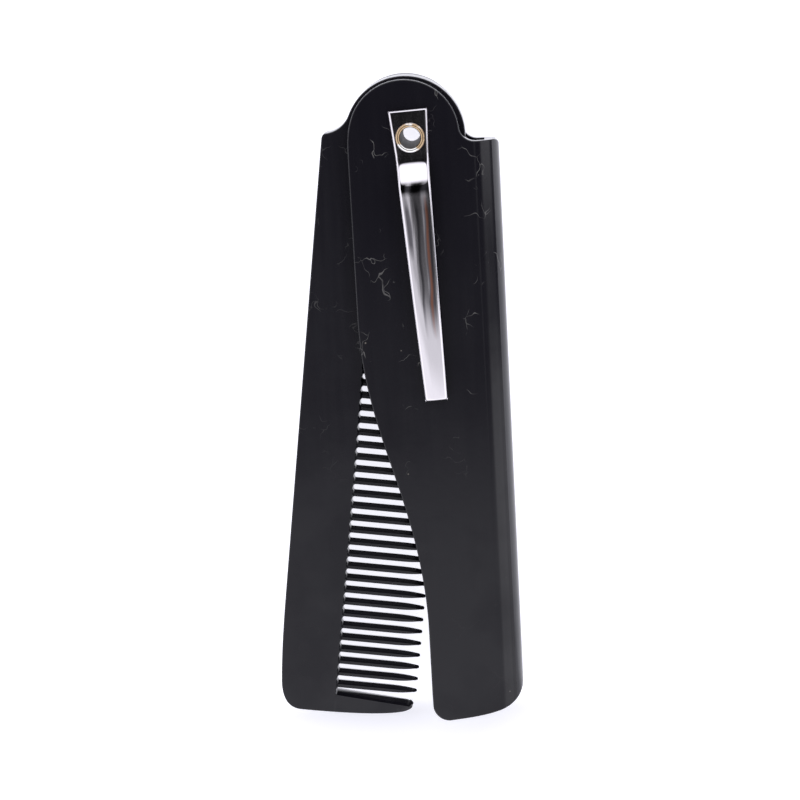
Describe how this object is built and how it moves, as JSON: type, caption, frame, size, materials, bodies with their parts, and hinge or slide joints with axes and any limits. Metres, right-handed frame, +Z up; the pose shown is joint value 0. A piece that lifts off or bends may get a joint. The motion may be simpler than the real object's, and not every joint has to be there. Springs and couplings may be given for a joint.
{
  "type": "folding comb",
  "caption": "Folding pocket comb that swings out of a channel-shaped handle on a hollow rivet, with a steel pocket clip on the front.",
  "frame": {"origin": "middle of the object's box in plan, on the surface that the handle's back cheek rests on", "axes": "+Z up out of the front cheek towards the clip, +Y along the handle towards its rounded head, +X towards the handle's spine"},
  "size_m": [0.041, 0.1092, 0.0108],
  "materials": {
    "handle_plastic": "smooth moulded black, slightly worn",
    "comb_plastic": "smooth moulded black",
    "clip_steel": "polished spring steel",
    "rivet_metal": "nickel plate, slightly dulled"
  },
  "bodies": {
    "handle_body": {"handle": "handle_plastic", "clip": "clip_steel", "rivet": "rivet_metal"},
    "comb_body": {"comb": "comb_plastic"}
  },
  "joints": [
    {"name": "comb_hinge", "type": "hinge", "parent": "handle_body", "child": "comb_body", "pos_m": [0.00641, 0.04489, 0.00413], "axis": [0, 0, -1], "range_deg": [-9.4, 176.5]}
  ]
}
